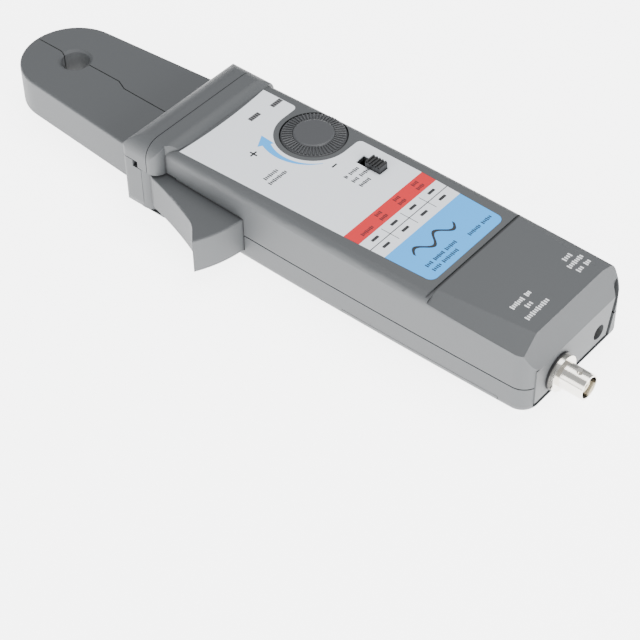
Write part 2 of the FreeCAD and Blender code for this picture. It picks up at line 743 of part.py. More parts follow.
def make_bush():
    low = post(pivot_x, pivot_y, bush_radius, knuckle_low, spring_low - 0.6)
    return low.cut(post(pivot_x, pivot_y, pin_radius + pin_clearance, 0, 30))


def make_spring():
    """Close-wound coil of the torsion spring in the knuckle's pocket, each turn a ring."""
    pitch = wire_diameter * 0.9
    middle = spring_low + wire_diameter / 2
    turns = [Part.makeTorus(spring_radius, wire_diameter / 2, V(pivot_x, pivot_y, middle + pitch * turn))
             for turn in range(spring_turns)]
    return fuse_all(turns)


# ---- sensing parts inside the jaws ----
def make_hall_sensor():
    x0 = window_x + window_radius + jaw_wall + 1.2
    y0 = slit_y(window_x + 10) + slit_gap / 2 + mating_wall + 0.4
    return box(x0, x0 + 5.0, y0, y0 + 1.3, jaw_low + lid_thickness + 2.5, jaw_high - jaw_wall - 2.5)


def make_fixed_core():
    sensor = make_hall_sensor().BoundBox
    room = box(sensor.XMin - 3, sensor.XMax + 4, -5, sensor.YMax + 0.2, 0, jaw_high)
    return core_half(1).cut(room)


def make_coil_lead():
    z = jaw_low + jaw_thickness / 2
    along = rod(window_x + 20, board_front + 1.6, 10, z, 1.0)
    up = post(board_front + 1.6, 10, 1.0, z, board_low)
    return along.fuse([up, Part.makeSphere(1.0, V(board_front + 1.6, 10, z))])


# ---- face ----
def make_label():
    return label_plate(0).cut(face_cuts())


def make_knob():
    low = casing_height - 5.0
    points = [(shaft_radius, low), (knob_radius, low), (knob_radius, casing_height - 0.5),
              (knob_radius - 0.5, casing_height), (knob_cap_radius + 0.3, casing_height + 0.4),
              (knob_cap_radius, casing_height + 1.0), (knob_cap_radius - 0.5, casing_height + 1.2),
              (0, casing_height + 1.2), (0, casing_height - 1.6), (shaft_radius, casing_height - 1.6)]
    outline = [V(knob_x + r, knob_y, z) for r, z in points]
    face = Part.Face(Part.makePolygon(outline + outline[:1]))
    return face.revolve(V(knob_x, knob_y, 0), V(0, 0, 1), 360)


def make_knob_shaft():
    return post(knob_x, knob_y, shaft_radius, board_low - pot_depth + 1.0, casing_height - 1.6)


def make_potentiometer():
    half = pot_width / 2
    block = box(knob_x - half, knob_x + half, knob_y - half, knob_y + half, board_low - pot_depth, board_low)
    bore = post(knob_x, knob_y, shaft_radius + pin_clearance, board_low - pot_depth + 0.9, board_low + 1)
    return block.cut(bore)


def slider_centre():
    return switch_x + switch_travel / 2


def make_switch_body():
    half = window_half + 1.2
    across = slider_width / 2 + 1.6
    block = box(switch_x - half, switch_x + half, switch_y - across, switch_y + across,
                board_high, board_high + 4.0)
    slot = box(switch_x - window_half, switch_x + window_half, switch_y - slider_width / 2 - slider_gap,
               switch_y + slider_width / 2 + slider_gap, board_high + 1.2, board_high + 5)
    return block.cut(slot)


def make_slider():
    x = slider_centre()
    half = slider_width / 2
    return box(x - slider_length / 2, x + slider_length / 2, switch_y - half, switch_y + half,
               board_high + 1.4, casing_height + slider_lift)


def make_light_windows():
    bars = [box(x - 1.0, x + 1.0, y - 2.7, y + 2.7, board_high + 4.2, casing_height)
            for x, y in light_places()]
    return Part.Compound(bars)


def make_status_lights():
    lamps = [box(x - 1.0, x + 1.0, y - 1.5, y + 1.5, board_high, board_high + 2.6)
             for x, y in light_places()]
    return Part.Compound(lamps)


# ---- electronics ----
def make_board():
    half = half_width - board_side_gap
    board = rounded_plate(board_front, board_back, -half, half, board_low, board_high, 2.0)
    board = board.cut([post(x, y, boss_radius + 0.3, 0, 40) for x, y in screw_places])
    board = board.cut([post(x, y, screw_radius, 0, 40) for x, y in board_screw_places])
    shaft_hole = post(knob_x, knob_y, shaft_radius + 0.6, 0, 40)
    return board.cut(shaft_hole)


def make_shield():
    x0 = shield_front
    can = box(x0, x0 + shield_length, -14, 6, board_high, board_high + 4.2)
    return can.cut(box(x0 + 0.5, x0 + shield_length - 0.5, -13.5, 5.5, board_high - 1, board_high + 3.7))


def make_chips():
    chips = [box(shield_front + 4 + 9 * i, shield_front + 9 + 9 * i, -8, 0, board_high, board_high + 1.6)
             for i in range(2)]
    return Part.Compound(chips)


def make_battery():
    half = battery_width / 2
    block = box(battery_front, battery_back, -half, half, battery_low, battery_low + battery_thickness)
    along = [e for e in block.Edges if e.BoundBox.XLength > 10]
    return block.makeFillet(2.0, along)


def battery_mid():
    return battery_low + battery_thickness / 2


def make_terminals():
    studs = [rod(battery_front - 2.8, battery_front, s * 6.35, battery_mid(), 2.8) for s in (1, -1)]
    return Part.Compound(studs)


def make_snap():
    mid = battery_mid()
    plate = rounded_plate_x(battery_front - 5.2, battery_front - 1.0, -12.5, 12.5, mid - 6, mid + 6, 2.0)
    sockets = [rod(battery_front - 2.9, battery_front, s * 6.35, mid, 2.85) for s in (1, -1)]
    return plate.cut(sockets)


def make_battery_leads():
    leads = [post(battery_front - 3.4, s * 4.0, 0.65, battery_mid() + 6, board_low) for s in (1, -1)]
    return Part.Compound(leads)


# ---- tail ----
def make_bnc_shell():
    flange_x = tail_x + washer_thickness
    barrel_x = flange_x + 1.8
    shell = rod(panel_front - 9.5, flange_x, bnc_y, bnc_z, bnc_thread_radius)
    shell = shell.fuse(rod(flange_x, barrel_x, bnc_y, bnc_z, bnc_flange_radius))
    shell = shell.fuse(rod(barrel_x, tail_x + bnc_length, bnc_y, bnc_z, bnc_radius))
    lug_x = tail_x + bnc_length - 4.4
    lug_reach = bnc_radius + 0.9
    lugs = post(lug_x, bnc_y, 1.0, bnc_z - lug_reach, bnc_z + lug_reach)
    shell = shell.fuse(lugs)
    mouth = rod(barrel_x + 2.0, tail_x + bnc_length + 1, bnc_y, bnc_z, bnc_radius - 0.7)
    throat = rod(panel_front - 9.5, barrel_x + 3, bnc_y, bnc_z, 2.4)
    return shell.cut([mouth, throat])


def make_bnc_insulator():
    tube = rod(panel_front - 9.5, tail_x + bnc_length - 1.4, bnc_y, bnc_z, 2.4)
    return tube.cut(rod(panel_front - 12, tail_x + bnc_length, bnc_y, bnc_z, 0.9))


def make_bnc_contact():
    contact = rod(panel_front - 11.5, tail_x + bnc_length - 2.0, bnc_y, bnc_z, 0.9)
    return contact.cut(rod(tail_x + bnc_length - 8, tail_x + bnc_length, bnc_y, bnc_z, 0.45))


def make_bnc_washer():
    disc = rod(tail_x, tail_x + washer_thickness, bnc_y, bnc_z, bnc_flange_radius + 0.4)
    return disc.cut(rod(tail_x - 1, tail_x + 2, bnc_y, bnc_z, bnc_thread_radius))


def make_bnc_nut():
    points = []
    for i in range(6):
        angle = math.radians(60 * i + 30)
        points.append(V(panel_front - 2.4, bnc_y + 6.4 * math.cos(angle), bnc_z + 6.4 * math.sin(angle)))
    nut = Part.Face(Part.makePolygon(points + points[:1])).extrude(V(2.4, 0, 0))
    return nut.cut(rod(panel_front - 5, tail_x, bnc_y, bnc_z, bnc_thread_radius))


def make_output_lead():
    return post(panel_front - 10.6, bnc_y, 0.6, bnc_z + 0.92, board_low)


def make_jack():
    block = box(panel_front - 11.0, panel_front, jack_y - 4, jack_side, jack_z - 5, jack_z + 5.5)
    return block.cut(rod(panel_front - 9.5, panel_front + 1, jack_y, jack_z, jack_radius - 0.15))


def make_jack_pin():
    return rod(panel_front - 9.5, panel_front - 1.6, jack_y, jack_z, 1.0)


def make_jack_lead():
    return post(panel_front - 6.0, jack_y, 0.6, jack_z + 5.5, board_low)


# ---- fasteners ----
def make_cover_screws():
    screws = []
    for x, y in screw_places:
        head = post(x, y, screw_head_radius, 0.3, screw_head_height + 0.2)
        shank = post(x, y, screw_radius, screw_head_height + 0.2, casing_height - 4)
        slots = [box(x - 1.6, x + 1.6, y - 0.35, y + 0.35, 0, 1.1),
                 box(x - 0.35, x + 0.35, y - 1.6, y + 1.6, 0, 1.1)]
        screws.append(head.fuse(shank).cut(slots))
    return Part.Compound(screws)


def make_board_screws():
    screws = []
    for x, y in board_screw_places:
        head = post(x, y, 2.2, board_low - 1.4, board_low)
        screws.append(head.fuse(post(x, y, 1.0, board_low, casing_height - 3)))
    return Part.Compound(screws)


top_cover, bottom_cover = make_casing()
guard_upper, guard_lower = make_guards()
pieces = {
    "top_cover": top_cover,
    "bottom_cover": bottom_cover,
    "front_guard_upper": guard_upper,
    "front_guard_lower": guard_lower,
    "fixed_jaw": make_fixed_jaw(),
    "fixed_jaw_lid": jaw_lid(1),
    "fixed_core": make_fixed_core(),
    "fixed_winding": winding(1),
    "hall_sensor": make_hall_sensor(),
    "coil_lead": make_coil_lead(),
    "moving_jaw": make_moving_jaw(),
    "moving_jaw_lid": jaw_lid(-1),
    "moving_core": core_half(-1),
    "lever": make_lever(),
    "lever_screws": make_lever_screws(),
    "hinge_bush": make_bush(),
    "hinge_pin": make_pin(),
    "jaw_spring": make_spring(),
    "front_label": make_label(),
    "light_windows": make_light_windows(),
    "status_lights": make_status_lights(),
    "zero_knob": make_knob(),
    "knob_shaft": make_knob_shaft(),
    "potentiometer": make_potentiometer(),
    "range_switch": make_switch_body(),
    "range_slider": make_slider(),
    "circuit_board": make_board(),
    "board_screws": make_board_screws(),
    "amplifier_shield": make_shield(),
    "amplifier_chips": make_chips(),
    "battery": make_battery(),
    "battery_terminals": make_terminals(),
    "battery_snap": make_snap(),
    "battery_leads": make_battery_leads(),
    "battery_door": battery_door(),
    "door_screw": door_screw(),
    "end_panel": end_panel(),
    "bnc_shell": make_bnc_shell(),
    "bnc_insulator": make_bnc_insulator(),
    "bnc_contact": make_bnc_contact(),
    "bnc_washer": make_bnc_washer(),
    "bnc_nut": make_bnc_nut(),
    "output_lead": make_output_lead(),
    "dc_jack": make_jack(),
    "dc_jack_pin": make_jack_pin(),
    "dc_jack_lead": make_jack_lead(),
    "cover_screws": make_cover_screws(),
}
for name, shape in pieces.items():
    finished = tidy(shape)
    if not finished.isValid():
        print("not a sound solid:", name)
    export(name, finished)
print(len(pieces), "nodes")
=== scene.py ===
import math

import bmesh
import bpy
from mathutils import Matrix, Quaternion, Vector


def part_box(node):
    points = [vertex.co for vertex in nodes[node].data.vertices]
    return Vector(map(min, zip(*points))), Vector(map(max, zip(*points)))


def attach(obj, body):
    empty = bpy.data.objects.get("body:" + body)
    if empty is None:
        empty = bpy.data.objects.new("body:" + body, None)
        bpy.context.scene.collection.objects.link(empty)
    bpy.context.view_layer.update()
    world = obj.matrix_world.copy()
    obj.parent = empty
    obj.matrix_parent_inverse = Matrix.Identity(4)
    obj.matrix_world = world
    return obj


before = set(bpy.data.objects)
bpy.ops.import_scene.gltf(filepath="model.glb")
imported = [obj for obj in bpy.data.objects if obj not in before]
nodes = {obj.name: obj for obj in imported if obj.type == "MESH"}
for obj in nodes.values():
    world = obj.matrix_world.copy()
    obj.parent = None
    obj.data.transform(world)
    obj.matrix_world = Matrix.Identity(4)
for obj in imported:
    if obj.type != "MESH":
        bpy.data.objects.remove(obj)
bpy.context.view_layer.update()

MM = 0.001

# Bench and light: a pale bench top under the probe, a broad soft light above it,
# one low on the lever's side and one beyond the tail, with a long-lens camera.
camera_place = Vector((406.4, -401.3, 488.1)) * MM
camera_target = Vector((101.5, -48.0, 20.0)) * MM
camera_roll = math.radians(-1.08)
camera_data = bpy.data.cameras.new("camera")
camera_data.lens = 108.6
camera_data.sensor_width = 36.0
camera_data.clip_start = 0.01
camera = bpy.data.objects.new("camera", camera_data)
camera.location = camera_place
camera.rotation_mode = "QUATERNION"
looking = (camera_target - camera_place).to_track_quat("-Z", "Y")
camera.rotation_quaternion = looking @ Quaternion((0, 0, 1), camera_roll)
bpy.context.collection.objects.link(camera)
bpy.context.scene.camera = camera


light_target = Vector((0.08, 0, 0.02))


def soft_light(name, place, size, power):
    data = bpy.data.lights.new(name, "AREA")
    data.shape = "DISK"
    data.size = size
    data.energy = power
    lamp = bpy.data.objects.new(name, data)
    lamp.location = place
    aim = light_target - Vector(place)
    lamp.rotation_mode = "QUATERNION"
    lamp.rotation_quaternion = aim.to_track_quat("-Z", "Y")
    bpy.context.collection.objects.link(lamp)


soft_light("overhead", (0.05, 0.25, 1.1), 0.9, 9.0)
soft_light("lever_side", (0.0, -1.1, 0.45), 0.8, 7.0)
soft_light("tail_side", (1.1, -0.25, 0.40), 0.6, 12.0)
world = bpy.data.worlds.new("studio")
world.use_nodes = True
sky = world.node_tree.nodes["Background"]
sky.inputs["Color"].default_value = (0.95, 0.97, 1.0, 1)
sky.inputs["Strength"].default_value = 0.75
bpy.context.scene.world = world


def new_material(name):
    material = bpy.data.materials.new(name)
    material.use_nodes = True
    tree = material.node_tree
    shader = tree.nodes["Principled BSDF"]
    return material, tree, shader


bench_material, _, bench_shader = new_material("bench_top")
bench_shader.inputs["Base Color"].default_value = (0.93, 0.93, 0.93, 1)
bench_shader.inputs["Roughness"].default_value = 0.8
bench_shader.inputs["Emission Color"].default_value = (1.0, 1.0, 1.0, 1)
bench_shader.inputs["Emission Strength"].default_value = 4.5
bench_mesh = bpy.data.meshes.new("bench_top")
bench_half = 3.0
bench_corners = [(bench_half * x, bench_half * y, 0) for x, y in ((-1, -1), (1, -1), (1, 1), (-1, 1))]
bench_mesh.from_pydata(bench_corners, [], [(0, 1, 2, 3)])
bench_mesh.materials.append(bench_material)
bench = bpy.data.objects.new("bench_top", bench_mesh)
bpy.context.collection.objects.link(bench)


# Casing, collar guards, jaws and lever: injection-moulded grey plastic with a
# fine spark-eroded texture. The node group gives that texture to every moulded
# piece: a slow drift in shade, fine speckle, and a height for the bump.
shade_drift_per_m = 28.0
shade_drift_share = 0.45
noise_middle = 0.72


def build_moulded_group():
    group = bpy.data.node_groups.new("moulded_texture", "ShaderNodeTree")
    group.interface.new_socket("Colour", in_out="INPUT", socket_type="NodeSocketColor")
    sizes = {"Speckle": 0.06, "Grain per m": 2600.0, "Rough": 0.55, "Rough spread": 0.08}
    for name, value in sizes.items():
        socket = group.interface.new_socket(name, in_out="INPUT", socket_type="NodeSocketFloat")
        socket.default_value = value
    group.interface.new_socket("Colour", in_out="OUTPUT", socket_type="NodeSocketColor")
    group.interface.new_socket("Roughness", in_out="OUTPUT", socket_type="NodeSocketFloat")
    group.interface.new_socket("Height", in_out="OUTPUT", socket_type="NodeSocketFloat")
    n, links = group.nodes, group.links
    entry = n.new("NodeGroupInput")
    leave = n.new("NodeGroupOutput")
    place = n.new("ShaderNodeTexCoord")
    fine = n.new("ShaderNodeTexNoise")
    fine.inputs["Detail"].default_value = 3.0
    broad = n.new("ShaderNodeTexNoise")
    broad.inputs["Scale"].default_value = shade_drift_per_m
    broad.inputs["Detail"].default_value = 4.0
    links.new(place.outputs["Object"], fine.inputs["Vector"])
    links.new(place.outputs["Object"], broad.inputs["Vector"])
    links.new(entry.outputs["Grain per m"], fine.inputs["Scale"])
    both = n.new("ShaderNodeMath")
    both.operation = "MULTIPLY_ADD"
    both.inputs[1].default_value = shade_drift_share
    links.new(broad.outputs["Fac"], both.inputs[0])
    links.new(fine.outputs["Fac"], both.inputs[2])
    centred = n.new("ShaderNodeMath")
    centred.operation = "SUBTRACT"
    centred.inputs[1].default_value = noise_middle
    links.new(both.outputs[0], centred.inputs[0])
    shade = n.new("ShaderNodeMath")
    shade.operation = "MULTIPLY_ADD"
    shade.inputs[2].default_value = 1.0
    links.new(centred.outputs[0], shade.inputs[0])
    links.new(entry.outputs["Speckle"], shade.inputs[1])
    tint = n.new("ShaderNodeVectorMath")
    tint.operation = "SCALE"
    links.new(entry.outputs["Colour"], tint.inputs[0])
    links.new(shade.outputs[0], tint.inputs["Scale"])
    rough = n.new("ShaderNodeMath")
    rough.operation = "MULTIPLY_ADD"
    links.new(centred.outputs[0], rough.inputs[0])
    links.new(entry.outputs["Rough spread"], rough.inputs[1])
    links.new(entry.outputs["Rough"], rough.inputs[2])
    links.new(tint.outputs[0], leave.inputs["Colour"])
    links.new(rough.outputs[0], leave.inputs["Roughness"])
    links.new(fine.outputs["Fac"], leave.inputs["Height"])
    return group


moulded_group = build_moulded_group()
texture_height = 0.08 * MM
painted_shade_reach = 1.2 * MM    # painted shade: joints and slits narrower than this are darkened in the base colour
painted_shade_strength = 0.9


def moulded_material(name, colour, rough=0.55, speckle=0.10, grain=2600.0, depth=0.25):
    material, tree, shader = new_material(name)
    texture = tree.nodes.new("ShaderNodeGroup")
    texture.node_tree = moulded_group
    # Painted shade: an ambient occlusion term multiplies the base colour, darkening joints, slits and
    # recesses where shade falls.
    painted_shade_ao = tree.nodes.new("ShaderNodeAmbientOcclusion")
    painted_shade_ao.inputs["Distance"].default_value = painted_shade_reach
    darken = tree.nodes.new("ShaderNodeMix")
    darken.data_type = "RGBA"
    darken.blend_type = "MULTIPLY"
    darken.inputs["Factor"].default_value = painted_shade_strength
    texture.inputs["Colour"].default_value = (*colour, 1)
    texture.inputs["Speckle"].default_value = speckle
    texture.inputs["Grain per m"].default_value = grain
    texture.inputs["Rough"].default_value = rough
    bump = tree.nodes.new("ShaderNodeBump")
    bump.inputs["Strength"].default_value = depth
    bump.inputs["Distance"].default_value = texture_height
    tree.links.new(texture.outputs["Colour"], darken.inputs["A"])
    tree.links.new(painted_shade_ao.outputs["AO"], darken.inputs["B"])
    tree.links.new(darken.outputs["Result"], shader.inputs["Base Color"])
    tree.links.new(texture.outputs["Roughness"], shader.inputs["Roughness"])
    tree.links.new(texture.outputs["Height"], bump.inputs["Height"])
    tree.links.new(bump.outputs["Normal"], shader.inputs["Normal"])
    return material


def finish_nodes(material, *names):
    for name in names:
        mesh = nodes[name].data
        if not mesh.materials:
            mesh.materials.append(material)
        for index in range(len(mesh.materials)):
            mesh.materials[index] = material


casing_grey = moulded_material("casing_grey", (0.066, 0.070, 0.073))
finish_nodes(casing_grey, "top_cover", "bottom_cover", "front_guard_upper", "front_guard_lower",
             "fixed_jaw", "moving_jaw", "fixed_jaw_lid", "moving_jaw_lid", "lever", "battery_door",
             "end_panel")


# Thumbwheel: a dark grey moulded disc with a flat cap. Fifty ribs run outward
# from the cap to the rim so that a thumb can turn it.
knob_grey = moulded_material("knob_grey", (0.050, 0.052, 0.056), rough=0.5)
finish_nodes(knob_grey, "zero_knob")
knob_low, knob_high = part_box("zero_knob")
knob_centre = (knob_low + knob_high) / 2
knob_radius = (knob_high.x - knob_low.x) / 2


def tree_input(tree, name, kind, value):
    socket = tree.interface.new_socket(name, in_out="INPUT", socket_type=kind)
    socket.default_value = value
    return socket.identifier


def build_ring_of_ribs():
    tree = bpy.data.node_groups.new("ring_of_ribs", "GeometryNodeTree")
    tree.is_modifier = True
    tree.interface.new_socket("Geometry", in_out="INPUT", socket_type="NodeSocketGeometry")
    tree_input(tree, "Count", "NodeSocketInt", 50)
    tree_input(tree, "Middle radius", "NodeSocketFloat", 0.010)
    tree_input(tree, "Rib size", "NodeSocketVector", (0.001, 0.001, 0.001))
    tree_input(tree, "Tilt", "NodeSocketFloat", 0.0)
    tree_input(tree, "Place", "NodeSocketVector", (0, 0, 0))
    tree_input(tree, "Material", "NodeSocketMaterial", None)
    tree.interface.new_socket("Geometry", in_out="OUTPUT", socket_type="NodeSocketGeometry")
    n, links = tree.nodes, tree.links
    entry = n.new("NodeGroupInput")
    leave = n.new("NodeGroupOutput")
    circle = n.new("GeometryNodeMeshCircle")
    links.new(entry.outputs["Count"], circle.inputs["Vertices"])
    links.new(entry.outputs["Middle radius"], circle.inputs["Radius"])
    rib = n.new("GeometryNodeMeshCylinder")
    rib.inputs["Vertices"].default_value = 8
    rib.inputs["Radius"].default_value = 0.5
    rib.inputs["Depth"].default_value = 1.0
    lay = n.new("GeometryNodeTransform")
    lay.inputs["Rotation"].default_value = (0, math.pi / 2, 0)
    links.new(rib.outputs["Mesh"], lay.inputs["Geometry"])
    sized = n.new("GeometryNodeTransform")
    links.new(lay.outputs["Geometry"], sized.inputs["Geometry"])
    links.new(entry.outputs["Rib size"], sized.inputs["Scale"])
    tilt = n.new("ShaderNodeCombineXYZ")
    links.new(entry.outputs["Tilt"], tilt.inputs["Y"])
    tilted = n.new("GeometryNodeTransform")
    links.new(sized.outputs["Geometry"], tilted.inputs["Geometry"])
    links.new(tilt.outputs["Vector"], tilted.inputs["Rotation"])
    spot = n.new("GeometryNodeInputPosition")
    parts = n.new("ShaderNodeSeparateXYZ")
    links.new(spot.outputs["Position"], parts.inputs["Vector"])
    angle = n.new("ShaderNodeMath")
    angle.operation = "ARCTAN2"
    links.new(parts.outputs["Y"], angle.inputs[0])
    links.new(parts.outputs["X"], angle.inputs[1])
    turn = n.new("ShaderNodeCombineXYZ")
    links.new(angle.outputs[0], turn.inputs["Z"])
    spread = n.new("GeometryNodeInstanceOnPoints")
    links.new(circle.outputs["Mesh"], spread.inputs["Points"])
    links.new(tilted.outputs["Geometry"], spread.inputs["Instance"])
    links.new(turn.outputs["Vector"], spread.inputs["Rotation"])
    move = n.new("GeometryNodeTransform")
    links.new(spread.outputs["Instances"], move.inputs["Geometry"])
    links.new(entry.outputs["Place"], move.inputs["Translation"])
    real = n.new("GeometryNodeRealizeInstances")
    links.new(move.outputs["Geometry"], real.inputs["Geometry"])
    coat = n.new("GeometryNodeSetMaterial")
    links.new(real.outputs["Geometry"], coat.inputs["Geometry"])
    links.new(entry.outputs["Material"], coat.inputs["Material"])
    links.new(coat.outputs["Geometry"], leave.inputs["Geometry"])
    return tree


def grow(name, tree, values, material):
    """A plain mesh object from a node tree, given its named inputs."""
    seed = bpy.data.objects.new(name, bpy.data.meshes.new(name))
    bpy.context.collection.objects.link(seed)
    modifier = seed.modifiers.new("grow", "NODES")
    modifier.node_group = tree
    for item in tree.interface.items_tree:
        if item.in_out == "INPUT" and item.name in values:
            modifier[item.identifier] = values[item.name]
        if item.in_out == "INPUT" and item.name == "Material":
            modifier[item.identifier] = material
    grown = seed.evaluated_get(bpy.context.evaluated_depsgraph_get())
    mesh = bpy.data.meshes.new_from_object(grown)
    seed.modifiers.remove(modifier)
    seed.data = mesh
    return seed


ring_of_ribs = build_ring_of_ribs()
rib_count = 50
rib_width = 0.75 * MM
rib_tilt = math.radians(5.0)
rib_rise = 0.28 * MM
knob_cap_radius = 7.7 * MM
rib_inner = knob_cap_radius + 0.2 * MM
rib_outer = knob_radius - 0.7 * MM
rim_top = knob_high.z - 1.2 * MM
knob_ribs = grow("knob_ribs", ring_of_ribs, {
    "Count": rib_count,
    "Middle radius": (rib_inner + rib_outer) / 2,
    "Rib size": (rib_outer - rib_inner, rib_width, rib_width),
    "Tilt": rib_tilt,
    "Place": Vector((knob_centre.x, knob_centre.y, rim_top + rib_rise)),
}, knob_grey)
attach(knob_ribs, "zero_knob")


# Face label: printed film sunk level with the top cover. Pale grey ground, a red
# and a blue band across its rear half, and a thin rule between them.
label_low, label_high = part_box("front_label")
label_top = label_high.z
red_start = label_high.x - 37.8 * MM
red_end = label_high.x - 31.1 * MM
rule_start = label_high.x - 26.3 * MM
rule_end = label_high.x - 25.9 * MM
blue_start = label_high.x - 20.1 * MM
past_the_tail = 1.0
pale_grey_print = (0.84, 0.87, 0.91)
red_print = (0.66, 0.006, 0.014)
rule_print = (0.05, 0.05, 0.055)
blue_print = (0.035, 0.42, 1.0)


def band_mask(tree, x_socket, start, end):
    """1 between two stations along x, 0 elsewhere."""
    after = tree.nodes.new("ShaderNodeMath")
    after.operation = "GREATER_THAN"
    after.inputs[1].default_value = start
    before = tree.nodes.new("ShaderNodeMath")
    before.operation = "LESS_THAN"
    before.inputs[1].default_value = end
    both = tree.nodes.new("ShaderNodeMath")
    both.operation = "MULTIPLY"
    tree.links.new(x_socket, after.inputs[0])
    tree.links.new(x_socket, before.inputs[0])
    tree.links.new(after.outputs[0], both.inputs[0])
    tree.links.new(before.outputs[0], both.inputs[1])
    return both.outputs[0]


def paint_over(tree, under, mask, colour):
    mix = tree.nodes.new("ShaderNodeMix")
    mix.data_type = "RGBA"
    mix.inputs["B"].default_value = (*colour, 1)
    tree.links.new(mask, mix.inputs["Factor"])
    tree.links.new(under, mix.inputs["A"])
    return mix.outputs["Result"]


label_film = moulded_material("label_film", pale_grey_print, rough=0.42, speckle=0.05,
                              grain=5200.0, depth=0.12)
label_tree = label_film.node_tree
label_texture = label_tree.nodes["Group"]
label_place = label_tree.nodes.new("ShaderNodeTexCoord")
label_axes = label_tree.nodes.new("ShaderNodeSeparateXYZ")
label_tree.links.new(label_place.outputs["Object"], label_axes.inputs["Vector"])
label_x = label_axes.outputs["X"]
ground = label_tree.nodes.new("ShaderNodeRGB")
ground.outputs[0].default_value = (*pale_grey_print, 1)
printed = ground.outputs[0]
for start, end, colour in ((red_start, red_end, red_print), (rule_start, rule_end, rule_print),
                           (blue_start, past_the_tail, blue_print)):
    printed = paint_over(label_tree, printed, band_mask(label_tree, label_x, start, end), colour)
label_tree.links.new(printed, label_texture.inputs["Colour"])
finish_nodes(label_film, "front_label")


# Printed marks on the label and the tail: screen-printed ink a few hundredths of
# a millimetre thick. Plain signs, a wave and rows of short strokes stand for print.
ink_thickness = 0.03 * MM
corner_clip = 0.35          # share of a bar's half width cut off its corners
stroke_share = 0.42         # a stroke's width against the height of its line
stroke_pitch = 1.6          # from one stroke to the next, against its width
tall_stroke = 1.35          # every third stroke is this much taller
word_space = 0.9            # gap between words, against the height of the line


def add_plate(mesh, outline, z):
    """A closed thin plate over an outline of (x, y) points, counter-clockwise."""
    low = [mesh.verts.new((x, y, z - ink_thickness)) for x, y in outline]
    high = [mesh.verts.new((x, y, z + ink_thickness)) for x, y in outline]
    mesh.faces.new(high)
    mesh.faces.new(low[::-1])
    for a in range(len(outline)):
        b = (a + 1) % len(outline)
        mesh.faces.new((low[a], low[b], high[b], high[a]))


def add_bar(mesh, x, y, wide, long, z):
    """A bar centred on x, y: wide along x and long along y, with clipped corners."""
    half_x, half_y = wide / 2, long / 2
    clip = min(half_x, half_y) * corner_clip
    add_plate(mesh, [
        (x - half_x + clip, y - half_y), (x + half_x - clip, y - half_y),
        (x + half_x, y - half_y + clip), (x + half_x, y + half_y - clip),
        (x + half_x - clip, y + half_y), (x - half_x + clip, y + half_y),
        (x - half_x, y + half_y - clip), (x - half_x, y - half_y + clip),
    ], z)


def add_words(mesh, x, y_start, lengths, height, z):
    """Strokes in a line along +y, in groups as long as printed words, in millimetres."""
    stroke = height * stroke_share
    y = y_start
    for length in [words * MM for words in lengths]:
        count = max(1, round(length / (stroke * stroke_pitch)))
        pitch = length / count
        for k in range(count):
            tall = height * (1.0 if k % 3 else tall_stroke)
            add_bar(mesh, x, y + (k + 0.5) * pitch, tall, stroke, z)
        y += length + height * word_space


def ink_piece(name, mesh, material):
    data = bpy.data.meshes.new(name)
    mesh.to_mesh(data)
    mesh.free()
    data.materials.append(material)
    piece = bpy.data.objects.new(name, data)
    bpy.context.collection.objects.link(piece)
    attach(piece, "casing")


def ink_material(name, colour, rough=0.5, speckle=0.04):
    return moulded_material(name, colour, rough=rough, speckle=speckle, grain=6000.0, depth=0.05)


black_ink = ink_material("black_ink", (0.012, 0.012, 0.014))
white_ink = ink_material("white_ink", (0.80, 0.81, 0.82))
dark_red_ink = ink_material("dark_red_ink", (0.10, 0.010, 0.012))
blue_ink = ink_material("blue_ink", blue_print, rough=0.45, speckle=0.05)
kx, ky = knob_centre.x, knob_centre.y
sign_line = 0.7 * MM
plus_size = 3.4 * MM
minus_size = 2.6 * MM
zero_print = 1.3 * MM       # height of the two lines beside the thumbwheel
switch_print = 1.25 * MM    # of the three lines beside the range switch
small_print = 1.2 * MM      # of the lines on the bands
tail_print = 1.5 * MM       # of the lines on the tail

black_marks = bmesh.new()
plus_x, plus_y = kx - 9.9 * MM, ky - 22.3 * MM
add_bar(black_marks, plus_x, plus_y, plus_size, sign_line, label_top)
add_bar(black_marks, plus_x, plus_y, sign_line, plus_size, label_top)
add_bar(black_marks, kx + 17.1 * MM, ky - 8.7 * MM, sign_line, minus_size, label_top)
add_words(black_marks, kx + 2.6 * MM, ky - 30.6 * MM, [7.2], zero_print, label_top)
add_words(black_marks, kx + 5.6 * MM, ky - 31.4 * MM, [9.4], zero_print, label_top)
for row, words in enumerate(([1.4, 5.0], [3.2, 5.0], [5.6])):
    row_x = kx + (24.4 + 3.5 * row) * MM
    add_words(black_marks, row_x, ky - 11.6 * MM, words, switch_print, label_top)
column_step = 10.6
for x_back in (28.6, 23.6):
    for column in range(4):
        column_y = (-15.5 + column_step * column) * MM
        add_bar(black_marks, label_high.x - x_back * MM, column_y, small_print, 3.6 * MM, label_top)
for column in range(3):
    column_y = (-10.2 + column_step * column) * MM
    add_bar(black_marks, label_high.x - 26.1 * MM, column_y, 8.0 * MM, 0.22 * MM, label_top)
wave_points = 28
wave_x = label_high.x - 12.8 * MM
wave_start = -13.5 * MM
wave_length = 22.0 * MM
wave_height = 2.3 * MM
wave_line = 0.65 * MM
upper_edge, lower_edge = [], []
for k in range(wave_points + 1):
    share = k / wave_points
    x = wave_x - wave_height * math.sin(share * 4 * math.pi)
    y = wave_start + wave_length * share
    upper_edge.append((x - wave_line, y))
    lower_edge.append((x + wave_line, y))
for k in range(wave_points):
    piece_of_wave = [lower_edge[k], lower_edge[k + 1], upper_edge[k + 1], upper_edge[k]]
    add_plate(black_marks, piece_of_wave, label_top)
add_words(black_marks, label_high.x - 6.2 * MM, -15.5 * MM, [3.4, 5.4, 5.8], small_print, label_top)
add_words(black_marks, label_high.x - 3.2 * MM, -15.5 * MM, [4.4, 8.4], small_print, label_top)
